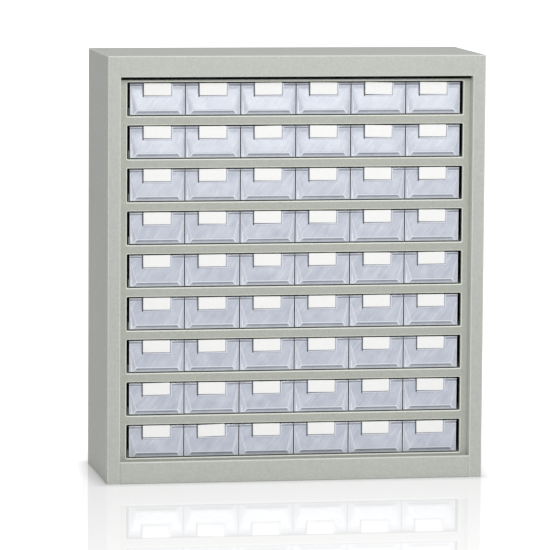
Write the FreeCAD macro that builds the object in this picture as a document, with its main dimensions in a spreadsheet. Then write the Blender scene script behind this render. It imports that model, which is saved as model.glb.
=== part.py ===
import FreeCAD, Part
import os
import Sketcher

# A free-standing sheet-steel cabinet with rows of small clear drawers, all in millimetres.
# X runs along the width, the front faces -Y and +Z is up. The origin is the middle of the
# rectangle that the cabinet stands on.

SIZES = (
    ("row_count", 9, "rows of drawers, counted from the top"),
    ("column_count", 6, "drawers in a row, counted from the left"),
    ("row_pitch", 65.5, "from one row to the next"),
    ("sheet_gauge", 0.8, "thickness of every folded steel sheet"),
    ("stile_width", 20, "front flange down each side of the casing"),
    ("header_height", 32.5, "front flange across the top of the casing"),
    ("header_return", 10, "how far the header is folded back"),
    ("sill_height", 33.5, "front flange across the bottom of the casing"),
    ("sill_return", 7, "how far the sill is folded back"),
    ("header_gap", 5, "dark slit between the header and the face frame"),
    ("back_lip", 12, "inward lip around the back, which carries the back panel"),
    ("face_recess", 16, "face frame behind the casing's front"),
    ("face_overlap", 9, "edge of the face frame hidden behind the casing's returns"),
    ("inner_stile_width", 11.8, "face frame beside the openings, as seen from the front"),
    ("rail_height", 14, "face frame between two openings"),
    ("top_rail_height", 3.5, "face frame above the top opening"),
    ("bottom_rail_height", 3.5, "face frame below the lowest opening"),
    ("opening_side_play", 4, "from an end drawer's front to the side of the opening"),
    ("opening_radius", 1.5, "corners of an opening"),
    ("opening_flange", 7, "depth of the folded edge around an opening"),
    ("shelf_cleat_height", 10, "strip welded to the casing under each end of a shelf"),
    ("shelf_stop_height", 10, "strip welded on a shelf behind the drawers"),
    ("guide_thickness", 1.2, "folded strip between two drawers"),
    ("guide_height", 12, "height of that strip"),
    ("guide_end_gap", 2, "from a strip to the shelf's ends"),
    ("rear_space", 12.2, "free depth behind the drawers"),
    ("stop_gap", 0.5, "play of a closed drawer before its stop"),
    ("slide_clearance", 0.3, "drawer's underside above its shelf"),
    ("drawer_setback", 3, "drawer front behind the face frame's front"),
    ("drawer_length", 190, "depth of a drawer without its grip"),
    ("drawer_front_gap", 1, "between the fronts of two drawers"),
    ("drawer_front_height", 49, "height of a drawer's front"),
    ("drawer_front_wall", 2.2, "thickness of that front"),
    ("drawer_body_width", 80, "width of a drawer behind its front"),
    ("drawer_body_gap", 5.5, "between the bodies of two drawers in a row"),
    ("drawer_body_height", 45, "height of a drawer behind its front"),
    ("drawer_wall", 1.6, "thickness of the other walls"),
    ("rim_slope_height", 3.5, "sloped strip along the top of the front"),
    ("rim_slope_depth", 1.6, "how far that strip leans back"),
    ("grip_depth", 5, "how far the finger grip stands out"),
    ("grip_top", 37.5, "where the grip starts, above the underside"),
    ("grip_ridge", 8.5, "grip's ridge above the underside"),
    ("grip_land", 1, "flat along the ridge"),
    ("grip_base", 0.8, "lower edge of the grip"),
    ("grip_ridge_width", 63.5, "length of the ridge"),
    ("grip_side_inset", 3.75, "front beside the grip"),
    ("ear_length", 6, "pull-out stop on each side wall"),
    ("ear_from_rear", 22, "from that stop to the drawer's back"),
    ("ear_catch", 2.8, "how far the stop reaches above the opening"),
    ("label_width", 42, "paper label card"),
    ("label_height", 18.4, "height of the card"),
    ("label_thickness", 0.4, "thickness of the card"),
    ("label_rise", 0.4, "card above the top of its holder"),
    ("holder_play", 0.4, "between the card and each side of its holder"),
    ("holder_border", 1.6, "raised edge around the card"),
    ("holder_backing", 1.4, "holder behind the card"),
    ("holder_lip", 1.2, "raised edge in front of the card's back"),
    ("wall_hole_radius", 3, "holes for fixing the cabinet to a wall"),
    ("wall_hole_spacing_across", 500, "between those holes, along the width"),
    ("wall_hole_spacing_up", 550, "between those holes, along the height"),
)

# What follows from the driving sizes, as expressions on the sheet.
COLUMN_PITCH = "(Sizes.drawer_body_width + Sizes.drawer_body_gap)"
OPENING_HEIGHT = "(Sizes.row_pitch - Sizes.rail_height)"
OPENING_HALF = f"(Sizes.column_count * {COLUMN_PITCH} / 2 + Sizes.opening_side_play)"
CASE_HALF = f"({OPENING_HALF} + Sizes.inner_stile_width + Sizes.stile_width)"
INSIDE_HALF = f"({CASE_HALF} - Sizes.sheet_gauge)"
MOUTH_HALF = f"({CASE_HALF} - Sizes.stile_width)"
FACE_HALF = f"({MOUTH_HALF} + Sizes.face_overlap)"
LOWEST_OPENING = "(Sizes.sill_height + Sizes.bottom_rail_height)"
FACE_TOP = (
    f"({LOWEST_OPENING} + Sizes.row_count * Sizes.row_pitch"
    " - Sizes.rail_height + Sizes.top_rail_height)"
)
CASE_HEIGHT = f"({FACE_TOP} + Sizes.header_gap + Sizes.header_height)"
CASE_DEPTH = (
    "(Sizes.face_recess + Sizes.drawer_setback + Sizes.drawer_length"
    " + Sizes.rear_space + Sizes.sheet_gauge)"
)
FRONT = f"(-{CASE_DEPTH} / 2)"
BACK = f"({CASE_DEPTH} / 2)"
FACE_FRONT = f"({FRONT} + Sizes.face_recess)"
SHELF_FRONT = f"({FACE_FRONT} + Sizes.opening_flange)"
DRAWER_FRONT = f"({FACE_FRONT} + Sizes.drawer_setback)"
STOP_FACE = f"({DRAWER_FRONT} + Sizes.drawer_length + Sizes.stop_gap)"
DRAWER_FRONT_HALF = f"(({COLUMN_PITCH} - Sizes.drawer_front_gap) / 2)"
EAR_TOP = f"({OPENING_HEIGHT} + Sizes.ear_catch - Sizes.slide_clearance)"
EAR_FRONT = "(Sizes.drawer_length - Sizes.ear_from_rear - Sizes.ear_length)"
DRAWER_TRAVEL = f"({DRAWER_FRONT} + {EAR_FRONT} - {SHELF_FRONT} - Sizes.stop_gap)"

doc = FreeCAD.newDocument("parts_organizer")
sheet = doc.addObject("Spreadsheet::Sheet", "Sizes")
for line, (alias, value, meaning) in enumerate(SIZES, start=1):
    sheet.set(f"A{line}", meaning)
    sheet.set(f"B{line}", str(value))
    sheet.setAlias(f"B{line}", alias)
doc.recompute()


def number(expression):
    """Return what an expression on the sheet comes to now."""
    return float(sheet.evalExpression(expression))


def new_body(name):
    """Add an empty body whose label is also its node's name."""
    body = doc.addObject("PartDesign::Body", name)
    body.Label = name
    return body


def new_sketch(body, name, plane_role, start):
    """Add a sketch on an origin plane of its body, moved to start along the world axis."""
    plane = next(item for item in body.Origin.OriginFeatures if item.Role == plane_role)
    sketch = body.newObject("Sketcher::SketchObject", name)
    sketch.AttachmentSupport = [(plane, "")]
    sketch.MapMode = "FlatFace"
    # The XZ plane looks along -Y, the other two look along their positive axis.
    sign = "-" if plane_role == "XZ_Plane" else ""
    sketch.setExpression("AttachmentOffset.Base.z", f"{sign}({start})")
    return sketch


def bind_constraint(sketch, constraint, expression):
    """Add a dimension to a sketch and tie it to the sheet."""
    index = sketch.addConstraint(constraint)
    sketch.setExpression(f"Constraints[{index}]", expression)


def place_point(sketch, geometry, point, across, up):
    """Hold a point of a sketch at two expressions measured from the sketch's origin."""
    bind_constraint(
        sketch, Sketcher.Constraint("DistanceX", -1, 1, geometry, point, number(across)), across)
    bind_constraint(
        sketch, Sketcher.Constraint("DistanceY", -1, 1, geometry, point, number(up)), up)


def draw_polygon(sketch, corners):
    """Draw a closed outline through corners, each one a pair of expressions."""
    points = [FreeCAD.Vector(number(across), number(up), 0) for across, up in corners]
    first = sketch.GeometryCount
    count = len(points)
    for index in range(count):
        sketch.addGeometry(Part.LineSegment(points[index], points[(index + 1) % count]), False)
    for index in range(count):
        before = first + (index - 1) % count
        sketch.addConstraint(Sketcher.Constraint("Coincident", before, 2, first + index, 1))
    for index, (across, up) in enumerate(corners):
        place_point(sketch, first + index, 1, across, up)


def rectangle(left, right, bottom, top):
    """Return the corners of an upright rectangle."""
    return [(left, bottom), (right, bottom), (right, top), (left, top)]


def arch(half_width, height, side, top, foot="0"):
    """Return the corners of an upside-down U, with legs side wide and a beam top high."""
    inner = f"({half_width} - {side})"
    return [
        (f"-{half_width}", foot),
        (f"-{half_width}", height),
        (half_width, height),
        (half_width, foot),
        (inner, foot),
        (inner, f"({height} - {top})"),
        (f"-{inner}", f"({height} - {top})"),
        (f"-{inner}", foot),
    ]


def draw_rounded_rectangle(sketch, half_width, bottom, top, radius):
    """Draw a rectangle centred on the upright axis with four equal round corners."""
    right = f"({half_width} - {radius})"
    left = f"-{right}"
    low = f"({bottom} + {radius})"
    high = f"({top} - {radius})"
    quarter = 1.5707963267948966
    first = sketch.GeometryCount
    centres = ((right, low, 3), (right, high, 0), (left, high, 1), (left, low, 2))
    for across, up, turns in centres:
        centre = FreeCAD.Vector(number(across), number(up), 0)
        circle = Part.Circle(centre, FreeCAD.Vector(0, 0, 1), number(radius))
        arc = Part.ArcOfCircle(circle, turns * quarter, (turns + 1) * quarter)
        sketch.addGeometry(arc, False)
    for corner in range(4):
        start = sketch.getPoint(first + corner, 2)
        end = sketch.getPoint(first + (corner + 1) % 4, 1)
        sketch.addGeometry(Part.LineSegment(start, end), False)
    for corner, (across, up, _) in enumerate(centres):
        arc = first + corner
        line_after = first + 4 + corner
        line_before = first + 4 + (corner - 1) % 4
        sketch.addConstraint(Sketcher.Constraint("Tangent", arc, 2, line_after, 1))
        sketch.addConstraint(Sketcher.Constraint("Tangent", line_before, 2, arc, 1))
        place_point(sketch, arc, 3, across, up)
        bind_constraint(sketch, Sketcher.Constraint("Radius", arc, number(radius)), radius)


def extrude(sketch, kind, name, length):
    """Add material (Pad) or take it away (Pocket) from a sketch towards the positive axis."""
    body = sketch.getParentGeoFeatureGroup()
    looks_backwards = sketch.AttachmentSupport[0][0].Role == "XZ_Plane"
    feature = body.newObject(f"PartDesign::{kind}", name)
    feature.Profile = sketch
    feature.setExpression("Length", length)
    feature.Reversed = looks_backwards if kind == "Pad" else not looks_backwards
    return feature


def pad(body, name, plane_role, start, length, *outlines):
    """Add a pad of one or more polygons, from start towards the positive axis."""
    sketch = new_sketch(body, f"{name}_sketch", plane_role, start)
    for outline in outlines:
        draw_polygon(sketch, outline)
    return extrude(sketch, "Pad", name, length)


def pocket(body, name, plane_role, start, length, *outlines):
    """Cut one or more polygons out of a body, and check that material went."""
    doc.recompute()
    volume_before = body.Shape.Volume
    sketch = new_sketch(body, f"{name}_sketch", plane_role, start)
    for outline in outlines:
        draw_polygon(sketch, outline)
    feature = extrude(sketch, "Pocket", name, length)
    doc.recompute()
    if not body.Shape.Volume < volume_before:
        raise RuntimeError(f"{name} cuts nothing")
    return feature


def repeat_up(body, feature, name, pitch, count):
    """Repeat a feature of a body upwards."""
    axis = next(item for item in body.Origin.OriginFeatures if item.Role == "Z_Axis")
    pattern = body.newObject("PartDesign::LinearPattern", name)
    pattern.Originals = [feature]
    pattern.Direction = (axis, [""])
    pattern.setExpression("Length", f"{pitch} * ({count} - 1)")
    pattern.setExpression("Occurrences", count)
    body.Tip = pattern
    return pattern


def placed_group(name, members, across="0", along="0", up="0"):
    """Group finished solids under one name, with the group's place tied to the sheet."""
    group = doc.addObject("Part::Compound", name)
    group.Label = name
    group.Links = members
    group.setExpression("Placement.Base.x", across)
    group.setExpression("Placement.Base.y", along)
    group.setExpression("Placement.Base.z", up)
    return group


def make_outer_wrap():
    """Top and both sides folded from one sheet, with flanges around the front and back."""
    body = new_body("outer_wrap")
    gauge = "Sizes.sheet_gauge"
    pad(body, "top_and_sides", "XZ_Plane", FRONT, CASE_DEPTH,
        arch(CASE_HALF, CASE_HEIGHT, gauge, gauge))
    pad(body, "front_flange", "XZ_Plane", FRONT, gauge,
        arch(CASE_HALF, CASE_HEIGHT, "Sizes.stile_width", "Sizes.header_height"))
    header_underside = f"({CASE_HEIGHT} - Sizes.header_height)"
    pad(body, "stile_returns", "XZ_Plane", FRONT, "Sizes.face_recess",
        rectangle(f"-({MOUTH_HALF} + {gauge})", f"-{MOUTH_HALF}", gauge, header_underside),
        rectangle(MOUTH_HALF, f"({MOUTH_HALF} + {gauge})", gauge, header_underside))
    # The header's return stops short of the stiles' returns, as a folded corner needs.
    return_half = f"({MOUTH_HALF} - {gauge})"
    pad(body, "header_return", "XZ_Plane", FRONT, "Sizes.header_return",
        rectangle(f"-{return_half}", return_half, header_underside, f"({header_underside} + {gauge})"))
    pad(body, "back_lips", "XZ_Plane", f"({BACK} - 2 * {gauge})", gauge,
        arch(INSIDE_HALF, f"({CASE_HEIGHT} - {gauge})", "Sizes.back_lip", "Sizes.back_lip", gauge))
    return body


def make_bottom_panel():
    """Floor of the casing, folded up in front as the sill and behind as a lip."""
    body = new_body("bottom_panel")
    gauge = "Sizes.sheet_gauge"
    pad(body, "floor", "XY_Plane", "0", gauge,
        rectangle(f"-{INSIDE_HALF}", INSIDE_HALF, f"({FRONT} + {gauge})", BACK))
    pad(body, "sill", "XZ_Plane", FRONT, gauge,
        rectangle(f"-{MOUTH_HALF}", MOUTH_HALF, "0", "Sizes.sill_height"))
    pad(body, "sill_return", "XZ_Plane", FRONT, "Sizes.sill_return",
        rectangle(f"-{MOUTH_HALF}", MOUTH_HALF, f"(Sizes.sill_height - {gauge})", "Sizes.sill_height"))
    lip_half = f"({INSIDE_HALF} - Sizes.back_lip)"
    pad(body, "rear_lip", "XZ_Plane", f"({BACK} - 2 * {gauge})", gauge,
        rectangle(f"-{lip_half}", lip_half, "0", "Sizes.back_lip"))
    return body


def make_back_panel():
    """Flat sheet that closes the back, with four holes for wall screws."""
    body = new_body("back_panel")
    gauge = "Sizes.sheet_gauge"
    pad(body, "sheet", "XZ_Plane", f"({BACK} - {gauge})", gauge,
        rectangle(f"-{INSIDE_HALF}", INSIDE_HALF, gauge, f"({CASE_HEIGHT} - {gauge})"))
    doc.recompute()
    volume_before = body.Shape.Volume
    sketch = new_sketch(body, "wall_hole_sketch", "XZ_Plane", f"({BACK} - {gauge})")
    radius = "Sizes.wall_hole_radius"
    for side in ("-", ""):
        for level in ("-", "+"):
            across = f"{side}(Sizes.wall_hole_spacing_across / 2)"
            up = f"({CASE_HEIGHT} / 2 {level} Sizes.wall_hole_spacing_up / 2)"
            centre = FreeCAD.Vector(number(across), number(up), 0)
            circle = Part.Circle(centre, FreeCAD.Vector(0, 0, 1), number(radius))
            index = sketch.addGeometry(circle, False)
            place_point(sketch, index, 3, across, up)
            bind_constraint(sketch, Sketcher.Constraint("Radius", index, number(radius)), radius)
    extrude(sketch, "Pocket", "wall_holes", gauge)
    doc.recompute()
    if not body.Shape.Volume < volume_before:
        raise RuntimeError("the wall holes cut nothing")
    return body


def make_face_frame():
    """Recessed front sheet that stands on the floor, with a round-cornered opening for each row."""
    body = new_body("face_frame")
    gauge = "Sizes.sheet_gauge"
    low = LOWEST_OPENING
    high = f"({low} + {OPENING_HEIGHT})"
    radius = "Sizes.opening_radius"
    pad(body, "face_sheet", "XZ_Plane", FACE_FRONT, gauge,
        rectangle(f"-{FACE_HALF}", FACE_HALF, gauge, FACE_TOP))
    doc.recompute()
    volume_before = body.Shape.Volume
    opening = new_sketch(body, "opening_sketch", "XZ_Plane", FACE_FRONT)
    draw_rounded_rectangle(opening, OPENING_HALF, low, high, radius)
    cut = extrude(opening, "Pocket", "lowest_opening", gauge)
    repeat_up(body, cut, "openings", "Sizes.row_pitch", "Sizes.row_count")
    flange = new_sketch(body, "opening_flange_sketch", "XZ_Plane", FACE_FRONT)
    draw_rounded_rectangle(flange, OPENING_HALF, low, high, radius)
    draw_rounded_rectangle(flange, f"({OPENING_HALF} + {gauge})", f"({low} - {gauge})",
                           f"({high} + {gauge})", f"({radius} + {gauge})")
    ring = extrude(flange, "Pad", "lowest_flange", "Sizes.opening_flange")
    doc.recompute()
    if not body.Shape.Volume < volume_before:
        raise RuntimeError("the openings cut nothing")
    repeat_up(body, ring, "opening_flanges", "Sizes.row_pitch", "Sizes.row_count")
    return body


def make_shelf_pieces():
    """One shelf at height zero: a flat sheet, the strip behind the drawers and a cleat under each end."""
    gauge = "Sizes.sheet_gauge"
    length = f"({STOP_FACE} + {gauge} - {SHELF_FRONT})"
    sheet_body = new_body("shelf_sheet_pattern")
    pad(sheet_body, "shelf_sheet", "XZ_Plane", SHELF_FRONT, length,
        rectangle(f"-{INSIDE_HALF}", INSIDE_HALF, f"-{gauge}", "0"))
    stop = new_body("shelf_stop_pattern")
    pad(stop, "shelf_stop", "XZ_Plane", STOP_FACE, gauge,
        rectangle(f"-{INSIDE_HALF}", INSIDE_HALF, "0", "Sizes.shelf_stop_height"))
    pieces = [sheet_body, stop]
    inner = f"({INSIDE_HALF} - {gauge})"
    foot = f"(-{gauge} - Sizes.shelf_cleat_height)"
    for name, left, right in (("left_cleat", f"-{INSIDE_HALF}", f"-{inner}"),
                              ("right_cleat", inner, INSIDE_HALF)):
        cleat = new_body(f"{name}_pattern")
        pad(cleat, name, "XZ_Plane", SHELF_FRONT, length, rectangle(left, right, foot, f"-{gauge}"))
        pieces.append(cleat)
    return pieces


def make_guide():
    """One upright strip that keeps the drawers of a row straight, at height zero."""
    body = new_body("guide_pattern")
    half = "(Sizes.guide_thickness / 2)"
    start = f"({SHELF_FRONT} + Sizes.guide_end_gap)"
    length = f"({STOP_FACE} - Sizes.guide_end_gap - {start})"
    pad(body, "guide_strip", "XZ_Plane", start, length,
        rectangle(f"-{half}", half, "0", "Sizes.guide_height"))
    return body


def make_drawer_tray():
    """Moulded drawer, with its front face at Y zero and its underside at height zero."""
    body = new_body("tray_pattern")
    wall = "Sizes.drawer_wall"
    front_wall = "Sizes.drawer_front_wall"
    length = "Sizes.drawer_length"
    half = "(Sizes.drawer_body_width / 2)"
    body_height = "Sizes.drawer_body_height"
    pad(body, "box", "XY_Plane", "0", body_height, rectangle(f"-{half}", half, "0", length))
    top = "Sizes.drawer_front_height"
    slope_start = f"({top} - Sizes.rim_slope_height)"
    pad(body, "front", "YZ_Plane", f"-{DRAWER_FRONT_HALF}", f"2 * {DRAWER_FRONT_HALF}",
        [("0", "0"), (front_wall, "0"), (front_wall, top),
         ("Sizes.rim_slope_depth", top), ("0", slope_start)])
    grip_half = f"({DRAWER_FRONT_HALF} - Sizes.grip_side_inset)"
    ridge_low = "(Sizes.grip_ridge - Sizes.grip_land / 2)"
    ridge_high = "(Sizes.grip_ridge + Sizes.grip_land / 2)"
    pad(body, "grip", "YZ_Plane", f"-{grip_half}", f"2 * {grip_half}",
        [("0", "Sizes.grip_base"), ("0", "Sizes.grip_top"),
         ("-Sizes.grip_depth", ridge_high), ("-Sizes.grip_depth", ridge_low)])
    ridge_half = "(Sizes.grip_ridge_width / 2)"
    pocket(body, "grip_facets", "XY_Plane", "Sizes.grip_base", "Sizes.grip_top - Sizes.grip_base",
           [(f"-{grip_half}", "0"), (f"-{ridge_half}", "-Sizes.grip_depth"),
            (f"-{grip_half}", "-Sizes.grip_depth")],
           [(grip_half, "0"), (grip_half, "-Sizes.grip_depth"),
            (ridge_half, "-Sizes.grip_depth")])
    holder_half = "(Sizes.label_width / 2 + Sizes.holder_play)"
    card_foot = f"({top} + Sizes.label_rise - Sizes.label_height)"
    outer = f"({holder_half} + Sizes.holder_border)"
    holder_front = "(Sizes.holder_backing + Sizes.holder_lip)"
    pad(body, "label_holder", "XZ_Plane", f"-{holder_front}", f"{holder_front} + {front_wall}",
        rectangle(f"-{outer}", outer, f"({card_foot} - Sizes.holder_border)", top))
    pocket(body, "label_recess", "XZ_Plane", f"-{holder_front}", "Sizes.holder_lip",
           rectangle(f"-{holder_half}", holder_half, card_foot, top))
    pocket(body, "inside", "XY_Plane", wall, top,
           rectangle(f"-({half} - {wall})", f"({half} - {wall})", front_wall, f"({length} - {wall})"))
    pad(body, "stop_ears", "XY_Plane", wall, f"{EAR_TOP} - {wall}",
        rectangle(f"-{half}", f"-({half} - {wall})", EAR_FRONT, f"({EAR_FRONT} + Sizes.ear_length)"),
        rectangle(f"({half} - {wall})", half, EAR_FRONT, f"({EAR_FRONT} + Sizes.ear_length)"))
    return body


def make_label_card():
    """Paper card that stands in a drawer's label holder."""
    body = new_body("card_pattern")
    half = "(Sizes.label_width / 2)"
    top = "(Sizes.drawer_front_height + Sizes.label_rise)"
    pad(body, "card", "XZ_Plane", "-(Sizes.holder_backing + Sizes.label_thickness)",
        "Sizes.label_thickness", rectangle(f"-{half}", half, f"({top} - Sizes.label_height)", top))
    return body


def shelf_level(row):
    """Return the height of a row's shelf, with row 1 at the top."""
    return f"{LOWEST_OPENING} + (Sizes.row_count - {row}) * Sizes.row_pitch"


rows = range(1, round(number("Sizes.row_count")) + 1)
columns = range(1, round(number("Sizes.column_count")) + 1)

subparts = [make_outer_wrap(), make_bottom_panel(), make_back_panel(), make_face_frame()]

shelf_pieces = make_shelf_pieces()
shelves = [placed_group(f"shelf_{row}", shelf_pieces, up=shelf_level(row)) for row in rows]
subparts.append(placed_group("drawer_shelves", shelves))

guide = make_guide()
guide_row = placed_group("guide_row", [
    placed_group(f"guide_{gap}", [guide], across=f"({gap} - Sizes.column_count / 2) * {COLUMN_PITCH}")
    for gap in range(len(columns) + 1)])
guide_rows = [placed_group(f"guides_{row}", [guide_row], up=shelf_level(row)) for row in rows]
subparts.append(placed_group("drawer_guides", guide_rows))

tray = make_drawer_tray()
card = make_label_card()
for row in rows:
    for column in columns:
        subparts.append(placed_group(
            f"drawer_row{row}_col{column}", [tray, card],
            across=f"({column} - (Sizes.column_count + 1) / 2) * {COLUMN_PITCH}",
            along=DRAWER_FRONT,
            up=f"{shelf_level(row)} + Sizes.slide_clearance"))

doc.recompute()
for item in doc.Objects:
    if "Invalid" in item.State or "Error" in item.State:
        raise RuntimeError(f"{item.Name} failed: {item.State}")
for item in subparts:
    if item.Shape.isNull() or not item.Shape.isValid():
        raise RuntimeError(f"{item.Label} has no valid shape")

os.makedirs("parts", exist_ok=True)
for item in subparts:
    item.Shape.exportStep(f"parts/{item.Label}.step")
print("sub-parts:", len(subparts))
print("case:", 2 * number(CASE_HALF), "x", number(CASE_DEPTH), "x", number(CASE_HEIGHT))
print("drawer travel:", round(number(DRAWER_TRAVEL), 3))
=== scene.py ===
# %% [markdown]
# # A steel cabinet with fifty-four small clear drawers
# The cabinet is folded from thin sheet steel, powder coated grey-green. Nine wide openings in its front
# sheet hold six moulded drawers each. The solids and their joints come from the frame; this lesson gives
# them their looks.

# %% Load the frame and keep its size
import math
import random
import bmesh
import bpy
from mathutils import Matrix, Vector


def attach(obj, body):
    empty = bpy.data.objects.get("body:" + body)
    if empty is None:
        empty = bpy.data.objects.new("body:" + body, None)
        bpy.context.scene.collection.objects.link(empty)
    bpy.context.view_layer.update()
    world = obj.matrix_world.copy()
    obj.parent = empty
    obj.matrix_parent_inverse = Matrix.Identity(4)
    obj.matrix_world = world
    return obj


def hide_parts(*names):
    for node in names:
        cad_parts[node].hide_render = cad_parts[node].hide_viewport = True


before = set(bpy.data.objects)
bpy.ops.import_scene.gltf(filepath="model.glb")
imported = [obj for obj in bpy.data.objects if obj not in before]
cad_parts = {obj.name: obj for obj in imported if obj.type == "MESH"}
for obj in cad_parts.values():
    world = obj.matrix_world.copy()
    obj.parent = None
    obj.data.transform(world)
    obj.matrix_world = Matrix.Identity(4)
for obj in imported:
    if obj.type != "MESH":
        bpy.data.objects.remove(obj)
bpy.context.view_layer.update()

# %% [markdown]
# All lengths are in metres. The same few values place every piece, so they are named once. X runs along
# the width, the drawers face -Y and +Z is up.

# %% Name the main sizes
ROWS, COLUMNS = 9, 6
ROW_PITCH, COLUMN_PITCH = 0.0655, 0.0855
SHEET, BACK_SHEET = 0.0008, 0.0006
CASE_HALF, CASE_HEIGHT = 0.2923, 0.6535
FRONT, BACK = -0.111, 0.111
STILE, HEADER, SILL, BOTTOM_RAIL = 0.020, 0.0325, 0.0335, 0.0035
RECESS, DRAWER_SETBACK, SLIDE_GAP = 0.016, 0.003, 0.0003
LOWEST_OPENING = SILL + BOTTOM_RAIL
MOUTH_HALF = CASE_HALF - STILE
FACE_FRONT = FRONT + RECESS
DRAWER_FRONT = FACE_FRONT + DRAWER_SETBACK
OPENING_HALF, OPENING_HEIGHT = 0.2605, 0.0515
CABINET = "cabinet"


def millimetres(value):
    """Turn a length in millimetres into metres."""
    return value / 1000


def drawer_name(row, column):
    """The body and node that hold the drawer of this row, counted from the top, and column."""
    return f"drawer_row{row}_col{column}"


def drawer_corner(row, column):
    """Middle of the lower edge of a drawer's front face."""
    across = (column - (COLUMNS + 1) / 2) * COLUMN_PITCH
    up = LOWEST_OPENING + (ROWS - row) * ROW_PITCH + SLIDE_GAP
    return Vector((across, DRAWER_FRONT, up))


print("case:", 2 * CASE_HALF, "wide,", BACK - FRONT, "deep,", CASE_HEIGHT, "high")

# %% [markdown]
# ## Camera
# A long lens from a little left of the middle and slightly above keeps the uprights nearly parallel. The
# camera is turned by three angles: round the upright axis, down, and a trace of roll.

# %% Place the camera
CAMERA_PLACE = (-1.1825, -6.5375, 1.0325)
CAMERA_TURN = dict(yaw=0.1768, pitch=0.1090, roll=0.0068)
LENS = 281.45


def look_matrix(yaw, pitch, roll):
    """Rotation of a camera that looks along +Y, turned right by yaw, down by pitch, then rolled."""
    forward = Vector((math.sin(yaw) * math.cos(pitch), math.cos(yaw) * math.cos(pitch), -math.sin(pitch)))
    level = Vector((math.cos(yaw), -math.sin(yaw), 0))
    upright = level.cross(forward)
    right = math.cos(roll) * level + math.sin(roll) * upright
    up = -math.sin(roll) * level + math.cos(roll) * upright
    return Matrix((right, up, -forward)).transposed()


scene = bpy.context.scene
camera = bpy.data.objects.new("studio_camera", bpy.data.cameras.new("studio_camera"))
scene.collection.objects.link(camera)
camera.matrix_world = Matrix.Translation(CAMERA_PLACE) @ look_matrix(**CAMERA_TURN).to_4x4()
camera.data.sensor_width = 36
camera.data.lens = LENS
camera.data.clip_end = 200
scene.camera = camera
scene.view_settings.view_transform = "Standard"
print("lens:", camera.data.lens, "mm")

# %% [markdown]
# ## Light
# Large soft boxes light the cabinet. The main one stands in front and a little to the right, so the left
# side of the casing stays in shade. A narrow second one hangs lower and near, where only the tilted
# fronts of the upper drawers mirror it. The air around adds the rest.

# %% Hang the soft boxes
AIM = Vector((0, -0.1, 0.33))


def soft_box(name, azimuth, elevation, distance, width, height, power):
    """An area light that faces the cabinet from a bearing, both angles in degrees, azimuth to the right."""
    turn, lift = math.radians(azimuth), math.radians(elevation)
    away = Vector((math.sin(turn) * math.cos(lift), -math.cos(turn) * math.cos(lift), math.sin(lift)))
    lamp = bpy.data.lights.new(name, "AREA")
    lamp.shape = "RECTANGLE"
    lamp.size, lamp.size_y = width, height
    lamp.energy = power
    box = bpy.data.objects.new(name, lamp)
    facing = away.to_track_quat("Z", "Y").to_matrix().to_4x4()
    box.matrix_world = Matrix.Translation(AIM + away * distance) @ facing
    scene.collection.objects.link(box)
    print(name, [round(v, 2) for v in box.location])


soft_box("key_box", azimuth=5, elevation=33, distance=3.0, width=1.5, height=1.2, power=33.2)
soft_box("strip_box", azimuth=10.6, elevation=23, distance=1.77, width=0.9, height=0.28, power=4.5)

# %% [markdown]
# ## Nodes as sums
# Both materials and shapes are graphs of small nodes. A short class wraps one socket, so that ordinary
# Python sums such as 1 - mask * 0.5 add the Math nodes, and one method makes every other node. What every
# material needs, such as noise and bumps, gets a method of its own.

# %% Write node graphs as expressions
class Wire:
    """One output socket that takes part in sums."""

    def __init__(self, graph, socket):
        self.graph, self.socket = graph, socket

    def sum_with(self, operation, first, second, clamp=False):
        """Add a Math node. With clamp, its result stays between zero and one."""
        settings = dict(operation=operation, use_clamp=clamp)
        return self.graph.wire("ShaderNodeMath", settings, {0: first, 1: second})

    def __add__(self, other): return self.sum_with("ADD", self, other)
    def __radd__(self, other): return self.sum_with("ADD", other, self)
    def __sub__(self, other): return self.sum_with("SUBTRACT", self, other)
    def __rsub__(self, other): return self.sum_with("SUBTRACT", other, self)
    def __mul__(self, other): return self.sum_with("MULTIPLY", self, other)
    def __rmul__(self, other): return self.sum_with("MULTIPLY", other, self)
    def __truediv__(self, other): return self.sum_with("DIVIDE", self, other)
    def __neg__(self): return self.sum_with("MULTIPLY", self, -1)
    def at_least(self, other): return self.sum_with("MAXIMUM", self, other)
    def between(self): return self.sum_with("ADD", self, 0, clamp=True)


class Graph:
    """A node tree, with one method that makes any node."""

    def __init__(self, tree):
        self.tree = tree

    def node(self, kind, settings=None, inputs=None):
        """Make a node and set its properties. Each input takes a wire, a list of wires or a plain value."""
        made = self.tree.nodes.new(kind)
        for key, value in (settings or {}).items():
            setattr(made, key, value)
        for key, value in (inputs or {}).items():
            parts = value if isinstance(value, list) else [value]
            if isinstance(parts[0], Wire):
                for wire in parts:
                    self.tree.links.new(wire.socket, made.inputs[key])
            else:
                made.inputs[key].default_value = value
        return made

    def wire(self, kind, settings=None, inputs=None, output=0):
        """Make a node and keep one of its outputs."""
        return Wire(self, self.node(kind, settings, inputs).outputs[output])


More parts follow.
